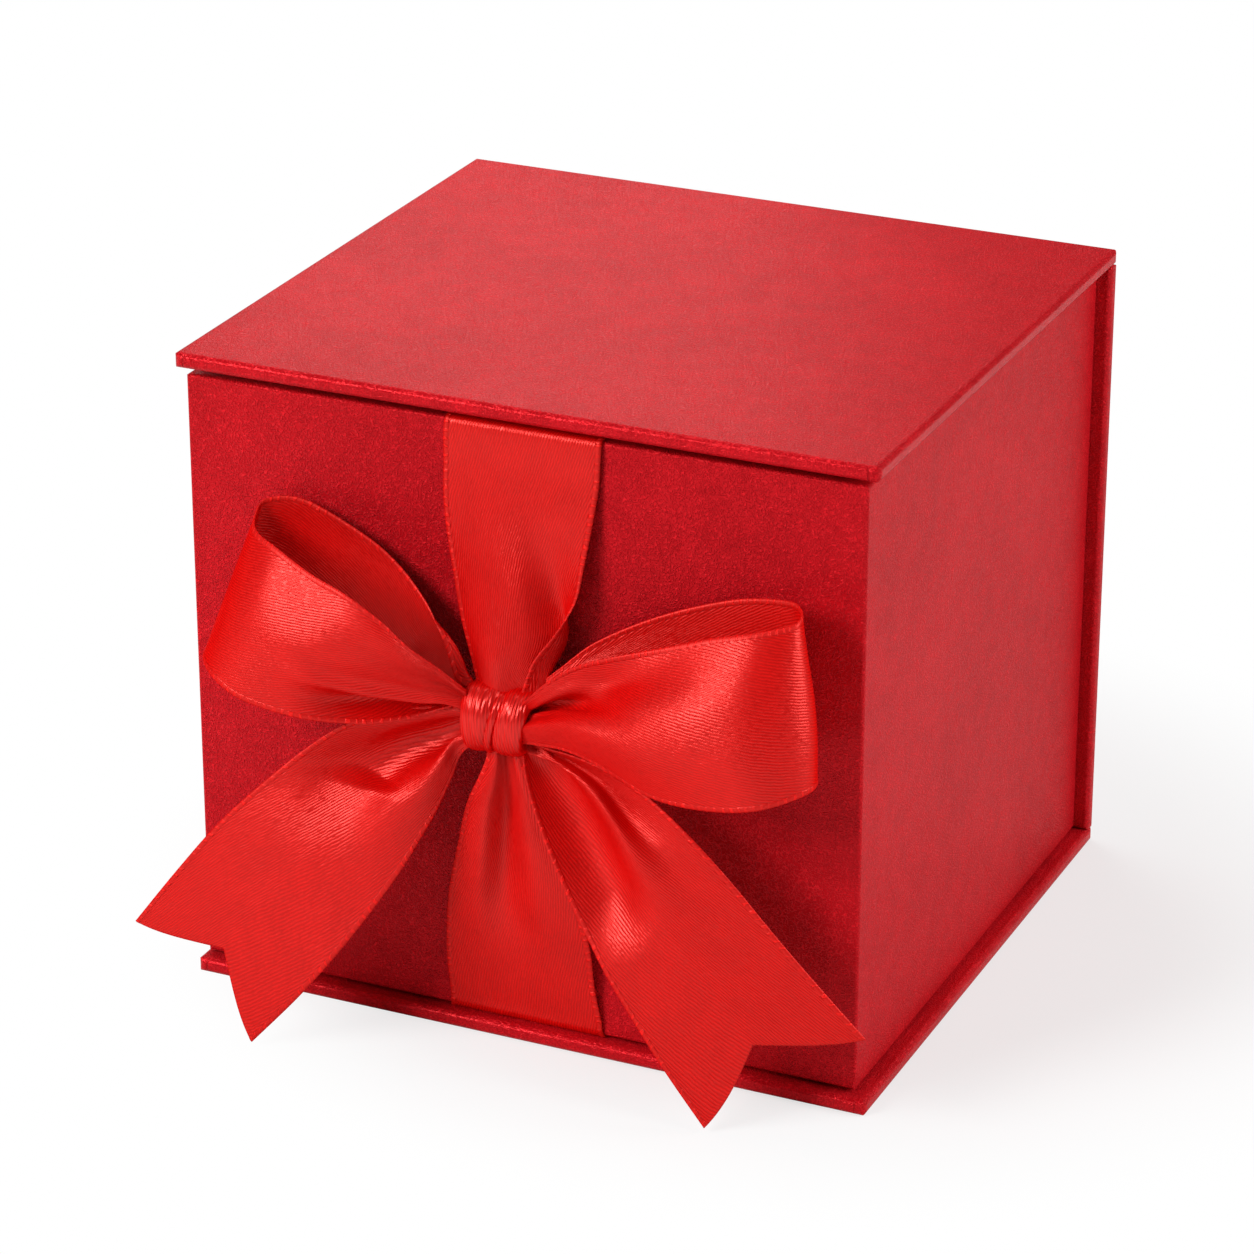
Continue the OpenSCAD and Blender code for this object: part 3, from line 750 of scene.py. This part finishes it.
# middle at the start and end, width at the start and end, start, end, height, hold, slant
LEFT_LOOP_FOLDS = [
    (0.70, 0.69, 0.07, 0.07, 1.0, 0.67, -2.4, 0.55, 0.0),
    (0.87, 0.85, 0.085, 0.09, 1.0, 0.68, 4.4, 0.5, 0.0),
    (0.35, 0.38, 0.06, 0.1, 1.0, 0.84, 0.5, 0.35, 0.0),
]
left_loop = closed_sheet("left_loop_satin", middle_surface(
    bow_stations(-1, LEFT_LOOP), LOOP_ROWS, COLUMNS, LEFT_LOOP_FOLDS))

# %% [markdown]
# ## Right loop
#
# The right loop lies flatter and reaches further out. Its front band bulges, so a broad
# highlight crosses it, and a trough beside the knot parts it in two.

# %% Right loop
RIGHT_LOOP = [
    ([-2, -1.5, 4.5], [-2, -2.5, -4.5], [0, 0, 0], [0, 0, 0]),
    ([6, -3, 12], [6, -4, -5], [-1.5, 0, 1], [0, 0, 0]),
    ([14, -5, 19], [14, -6, -5], [-0.5, 0, 0.5], [0, 0, 0]),
    ([28.5, -7, 27], [31, -7, -5.5], [0, 0, 0], [0, 0, 0]),
    ([46, -7, 34], [50.5, -5.5, -4], [0, 0, 0], [0, 0, 0]),
    ([59.6, -4, 37.4], [66, -1, -0.5], [0, 0, 0], [0, 0, 0]),
    ([64.8, -0.5, 37.6], [72.2, 7, 0.8], [0, 0.5, 0.5], [0, 0, 0]),
    ([65.3, 5, 36.3], [72.6, 14.5, 1], [1.6, 2.4, 2], [-1, -1, -1]),
    ([57.4, 9, 34.4], [63.8, 20.5, -1.9], [2.9, 4, 3.1], [-0.8, -0.9, -0.7]),
    ([47, 9.5, 31.4], [50.6, 19, -5.2], [3.4, 5.8, 4.8], [-1.1, -2.3, -1.7]),
    ([34.5, 9, 26.5], [36, 15, -6.7], [1.3, 5.1, 5.4], [-1.8, -3.4, -2.3]),
    ([22.9, 8.5, 22], [21.6, 10, -4.3], [-1.9, 0.9, 4.5], [0, -2.1, -3]),
    ([14.2, 7, 17.7], [11.6, 6.5, -3.8], [-1.4, -1.8, 3.3], [-0.1, -0.7, -2.8]),
    ([6.1, 5.5, 11.6], [3.3, 4, -5], [-0.2, -2.7, 1.9], [-0.8, 0.2, -2.2]),
    ([-0.5, 3.5, 4.5], [-2.2, 2.5, -6], [-0.4, -2.2, 1.5], [-1.7, -1.4, -1.2]),
]
RIGHT_LOOP_FOLDS = [
    (0.20, 0.24, 0.05, 0.08, 1.0, 0.78, 0.7, 0.35, 0.0),
    (0.38, 0.42, 0.05, 0.08, 1.0, 0.72, -2.0, 0.5, 0.0),
    (0.48, 0.52, 0.04, 0.06, 1.0, 0.80, 0.8, 0.35, 0.0),
]
right_loop = closed_sheet("right_loop_satin", middle_surface(
    bow_stations(1, RIGHT_LOOP), LOOP_ROWS, COLUMNS, RIGHT_LOOP_FOLDS))

# %% [markdown]
# ## The tails
#
# Each tail falls from the knot and widens from its gathers to the full ribbon, and its end is
# cut in a V so that the weave does not fray. The V could be cut out with a Boolean, but that
# breaks the woven edges' even faces. It is made in the surface itself: the lines of the middle
# stop short of the two points.

# %% The V cut
V_CUT = 0.08


def tail_surface(stations, rows, columns, folds=()):
    """The middle surface, with each line across cut short by the V: the place along the ribbon
    is multiplied by one minus the cut times how near the line is to the middle."""
    grid = middle_surface(stations, rows, columns, folds)
    v = np.linspace(0, 1, columns)
    share = 1 - V_CUT * (1 - np.abs(2 * v - 1))
    t = np.linspace(0, 1, rows)[:, None] * share
    place = t * (rows - 1)
    low = np.clip(place.astype(int), 0, rows - 2)
    part = (place - low)[..., None]
    column = np.arange(columns)[None, :]
    return grid[low, column] * (1 - part) + grid[low + 1, column] * part


print("tail ends cut in by", V_CUT, "of the tail")

# %% [markdown]
# ## Left and right tail
#
# Both tails carry one wide trough that comes out of the knot and ends in a short slope. That
# slope faces the key lamp and makes the crescent of light that a gathered satin tail shows.

# %% Tails
TAIL_ROWS = 260
LEFT_TAIL = [
    ([-2, 1.5, 0.5], [-2, 0.5, -8.5], [0.5, -0.5, 0.5], [0, 0, 0]),
    ([4.5, 1.5, -0.4], [2.2, 0.5, -13], [0.6, -2, 1.5], [-1.5, 1, -1.5]),
    ([12, 3, -1.5], [4, 1.5, -18.5], [0.5, -3, 3.2], [-1.5, 0.5, -1]),
    ([21.5, 5.5, -4], [6.5, 3.5, -25.5], [-0.8, -3.5, 3.2], [-1, -1, -0.5]),
    ([29.3, 8, -8], [9.5, 6.5, -32.5], [-2.6, -3.4, 2], [-0.5, -1.5, -2]),
    ([38, 10, -15], [13.7, 9.5, -41], [-2.4, -1.4, 1], [-0.5, -1.5, -2]),
    ([47.7, 12, -24], [19.8, 12.5, -51], [0.2, 0.6, 0.5], [0, 0, 0]),
    ([58, 14.5, -35], [27.5, 16, -62.5], [0, 0, 0], [0, 0, 0]),
    ([68.5, 16.5, -48.5], [36.7, 18.5, -74.5], [0, 0, 0], [0, 0, 0]),
    ([79.5, 18, -63.5], [48, 20.5, -87.5], [0, 0, 0], [0, 0, 0]),
]
RIGHT_TAIL = [
    ([-3, 1, -5.5], [-3.5, 0.5, -8], [0.5, 0, 0.5], [0, 0, 0]),
    ([3.5, 1.6, -6.3], [-2, 1, -9.5], [1.5, -0.5, 1.5], [1, -0.5, 1]),
    ([12.4, 2.5, -6.8], [-0.8, 2, -15], [2.5, -0.5, 3], [0.5, -2.5, 0.5]),
    ([22, 3, -9], [2, 3.5, -22], [2, -1.5, 3.5], [0, -4.5, 0]),
    ([31.5, 4.5, -12.7], [6.7, 5.5, -31], [2, -2, 3.5], [1, -4.5, 0]),
    ([41.5, 6, -19], [13, 7.5, -42], [0.5, -2, 2], [-0.5, -3, -0.5]),
    ([52, 6.2, -28.5], [20.8, 9.7, -53.3], [0, -0.5, 0], [-0.5, -0.5, 0.5]),
    ([62, 6, -39], [29.8, 11.5, -64.8], [0, 0, 0], [0, 0, 0]),
    ([72, 5.5, -49.3], [39, 13, -76], [0, 0, 0], [0, 0, 0]),
    ([84, 4.5, -61.5], [49, 14, -87.5], [0, 0, 0], [0, 0, 0]),
]
LEFT_TAIL_FOLDS = [
    (0.46, 0.34, 0.13, 0.25, 0.0, 0.545, -3.2, 0.87, -0.3),
    (0.86, 0.84, 0.05, 0.06, 0.0, 0.34, -0.4, 0.35, 0.0),
]
RIGHT_TAIL_FOLDS = [
    (0.60, 0.74, 0.16, 0.26, 0.0, 0.71, 3.0, 0.8, 0.0),
]

left_tail = closed_sheet("left_tail_satin", tail_surface(
    bow_stations(-1, LEFT_TAIL), TAIL_ROWS, COLUMNS, LEFT_TAIL_FOLDS))
right_tail = closed_sheet("right_tail_satin", tail_surface(
    bow_stations(1, RIGHT_TAIL), TAIL_ROWS, COLUMNS, RIGHT_TAIL_FOLDS))

# %% [markdown]
# ## The straps
#
# The upper strap is glued inside the front wall, passes over the rim beneath the lid and
# falls to the knot, where it is gathered into a trough. The lower strap leaves the knot and
# goes under the tray's front edge. A strap could be a plain flat strip, but a tied ribbon is
# drawn in by the knot. So both are flat at the box and narrow and folded at the knot.

# %% Stations of the straps
front = FRONT / MM
rim = RIM / MM
tray_foot = tray_low[2] / MM
gap_middle = (tray_low[2] + base_high[2]) / 2 / MM
WALL = 2.9
HUG = 0.35


def at_box(left, right, forward, height):
    """A flat station on the tray: both edges' x, distance in front of the tray, height."""
    return ([left, front - forward, height], [right, front - forward, height], [0, 0, 0],
            [0, 0, 0])


def knot_to_box(rows):
    """Stations whose points are [right, forward, up] from the middle of the knot."""
    x, y, z = knot_mid / MM
    return [tuple([x + p[0], y - p[1], z + p[2]] for p in row[:2]) + tuple(row[2:])
            for row in rows]


print("straps run from rim", round(rim, 1), "to foot", round(tray_foot, 1))

# %% [markdown]
# ## Upper strap
#
# Over the rim the strap bends tightly in the gap beneath the lid. Towards the knot its left half
# stays bulged, its right half sinks into a shaded valley, and its right edge folds forward.

# %% Upper strap
UPPER_ROWS = 280
UPPER_STRAP = [
    at_box(-19, 19.7, -WALL - HUG, rim - 3),
    at_box(-19, 19.7, -WALL - HUG, rim - 0.6),
    at_box(-19, 19.7, -WALL + 0.5, rim + HUG),
    at_box(-19, 19.7, -1.2, rim + HUG + 0.1),
    at_box(-19, 19.7, -0.3, rim + 0.3),
    at_box(-19, 19.7, 0.3, rim - 0.2),
    at_box(-19, 19.7, 0.7, rim - 1.2),
    at_box(-19.1, 19.6, 0.9, rim - 3.6),
] + knot_to_box([
    ([-18.1, -9.5, 54.5], [20.2, -9.5, 54], [0.2, 0.3, 0.2], [0, 0.3, 0.3]),
    ([-17.6, -8.2, 45.5], [19.2, -8.2, 45], [0.3, 0.5, 0.3], [0.3, 0.3, 0.2]),
    ([-16.1, -7, 36.5], [17.9, -7, 36.5], [1.3, 1.4, -1.0], [0.5, 0.4, 0.3]),
    ([-14, -5.5, 28.7], [16.9, -5.2, 28.8], [1.8, 1.6, -2.8], [1.2, 1.5, 1.5]),
    ([-12.3, -4.3, 21.9], [15.1, -4, 24.3], [2.3, 1.2, -4.2], [2.2, 3, 3.4]),
    ([-10.6, -3.3, 16.6], [12.1, -2.2, 19.2], [2.5, 0.7, -5.0], [2.8, 4.0, 6.6]),
    ([-8.3, -2, 11.1], [8, 0, 12.9], [2.4, -0.3, -5.0], [2.8, 4.4, 7.4]),
    ([-5.4, -0.3, 3.6], [5.4, 1.2, 4.4], [1.4, -1.4, -1.8], [2.4, 4.0, 6]),
])
upper_strap = closed_sheet("upper_strap_satin", middle_surface(
    UPPER_STRAP, UPPER_ROWS, COLUMNS))

# %% [markdown]
# ## Lower strap
#
# Below the knot the ribbon opens again from three soft gathers and lies flat before it turns
# under the tray, into the thin gap above the base.

# %% Lower strap
LOWER_ROWS = 260
LOWER_STRAP = knot_to_box([
    ([-3.7, -0.5, -8], [4.2, -0.5, -8], [0.7, -0.8, 0.6], [0, 0, 0]),
    ([-3.9, -0.5, -12.6], [6, -0.5, -12.9], [1, -1.2, 0.7], [0.4, -0.6, 0.5]),
    ([-6.1, -0.5, -18.3], [8.2, -1, -19.3], [1.5, -1.9, 0.9], [0.6, -0.8, 0.4]),
    ([-9.7, -1.5, -26.1], [10.8, -2, -28.3], [2, -2.6, 1.4], [0.5, -1.2, 0]),
    ([-12.7, -2.5, -37.8], [15, -3, -39.9], [2, -2.2, 1.7], [0, -2.5, -0.9]),
    ([-16, -4.5, -50.3], [17.9, -5, -52], [1.6, -0.9, 1.8], [-0.6, -2.8, -1.4]),
    ([-17.8, -6.5, -61.3], [19, -7, -61.4], [1.2, 1, 1.4], [-0.6, -1.2, -0.7]),
    ([-18.6, -8.1, -71.4], [19.3, -8.5, -71.4], [0.6, 0.8, 0.7], [0, 0, 0]),
]) + [
    at_box(-19.6, 19.4, 0.9, tray_foot + 4.4),
    at_box(-19.7, 19.6, 0.5, tray_foot + 1.2),
    at_box(-20, 20, -0.2, gap_middle + 0.1),
    at_box(-20, 20, -1.4, gap_middle),
    at_box(-20, 20, -9, gap_middle),
]
lower_strap = closed_sheet("lower_strap_satin", middle_surface(
    LOWER_STRAP, LOWER_ROWS, COLUMNS))

# %% [markdown]
# ## The knot
#
# The middle of the bow is the ribbon folded lengthwise and wrapped round the gathered roots.
# It shows as two wraps side by side with a thin roll between them, which leans to the right
# over the top. It could be one lump with grooves, but the light shows separate wraps. Each is
# a band carried round an oval, with a flat face, rounded edges and the fine lines of the ribbon
# drawn tight.

# %% Knot
KNOT_DROP = 2.0
KNOT_TALL = 8.5
KNOT_UNDER = 1.4
BAND_INSIDE = 0.72
AROUND = 180
OVER = 49


def knot_band(left, right, rise, lean=(0.0, 0.0), swell=0.0, lines=7, depth=0.06):
    """Points, faces and UV of a closed ring round the X axis. Round the oval the angle is a,
    and sin a is 1 on top. Across it s runs from -1, at left + lean * sin a, to 1, at right +
    lean * sin a. The radius is the oval's plus a flat-topped crown that grows by swell
    downwards, less fine lines along the wrap."""
    a = np.linspace(-math.pi, math.pi, AROUND, endpoint=False)[:, None]
    s = np.linspace(-1, 1, OVER)[None, :]
    crown = (rise - swell * np.sin(a)) * (1 - np.abs(s) ** 3.2) ** 0.6
    crown = crown + depth * np.cos(lines * math.pi * s + 0.9 * np.sin(2 * a)) * (1 - s ** 6)
    crown = crown + 0.12 * np.sin(3 * a + 2 * s) * (1 - s ** 2)
    start = left + lean[0] * np.sin(a)
    end = right + lean[1] * np.sin(a)
    x = start + (end - start) * (s + 1) / 2
    deep = (knot_high[1] - knot_low[1]) / 2 / MM - KNOT_UNDER
    y = -(deep + crown) * np.cos(a)
    z = (KNOT_TALL - KNOT_UNDER + crown) * np.sin(a) - KNOT_DROP
    outer = np.stack([np.broadcast_to(x, y.shape), y, z], axis=-1)
    inner = outer[:, ::-1].copy()
    inner[..., 1:] *= BAND_INSIDE
    ring = np.concatenate([outer, inner], axis=1)
    count = ring.shape[1]
    index = np.arange(AROUND * count).reshape(AROUND, count)
    right_of = np.roll(index, -1, axis=1)
    quads = np.stack([index, right_of, np.roll(right_of, -1, axis=0), np.roll(index, -1, axis=0)],
                     axis=-1).reshape(-1, 4)
    points = (ring.reshape(-1, 3) + knot_mid / MM) * MM
    turn = np.broadcast_to(0.12 * a * KNOT_TALL / RIBBON, (AROUND, count))
    share = 0.5 + ring[..., 0] / RIBBON
    uv = np.stack([share, turn], axis=-1).reshape(-1, 2)
    return points, quads, uv


bands = [knot_band(-7.7, -0.7, 1.4, lean=(0.0, 1.8)),
         knot_band(-1.3, 0.9, 0.9, lean=(1.6, 1.9), swell=0.5, lines=2),
         knot_band(0.7, 7.9, 1.2, lean=(1.7, 1.3), swell=0.1)]
knot = add_mesh("knot_satin",
                np.concatenate([points for points, _, _ in bands]),
                np.concatenate([faces + i * len(bands[0][0])
                                for i, (_, faces, _) in enumerate(bands)]),
                np.concatenate([uv for _, _, uv in bands]), tight_satin, "box")

# %% [markdown]
# ## Hide the plain ribbon solids
#
# Each satin piece stands for its plain solid, which is hidden, and the size it was cut to
# is printed. The lengths are those of the pieces' middle lines, and all were cut from the
# same ribbon.

for piece, node, length, held, rests_on in (
        (left_loop, "left_loop", 150, "folded", ["knot_satin"]),
        (right_loop, "right_loop", 160, "folded", ["knot_satin"]),
        (left_tail, "left_tail", 92, "gathered", ["knot_satin"]),
        (right_tail, "right_tail", 96, "gathered", ["knot_satin"]),
        (upper_strap, "upper_strap", 66, "gathered", ["tray_wrap"]),
        (lower_strap, "lower_strap", 86, "gathered", ["tray_wrap"]),
        (knot, "knot", 24, "folded", ["left_loop_satin", "right_loop_satin"])):
    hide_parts(node)
    print(node, RIBBON, "x", length, "mm,", held)
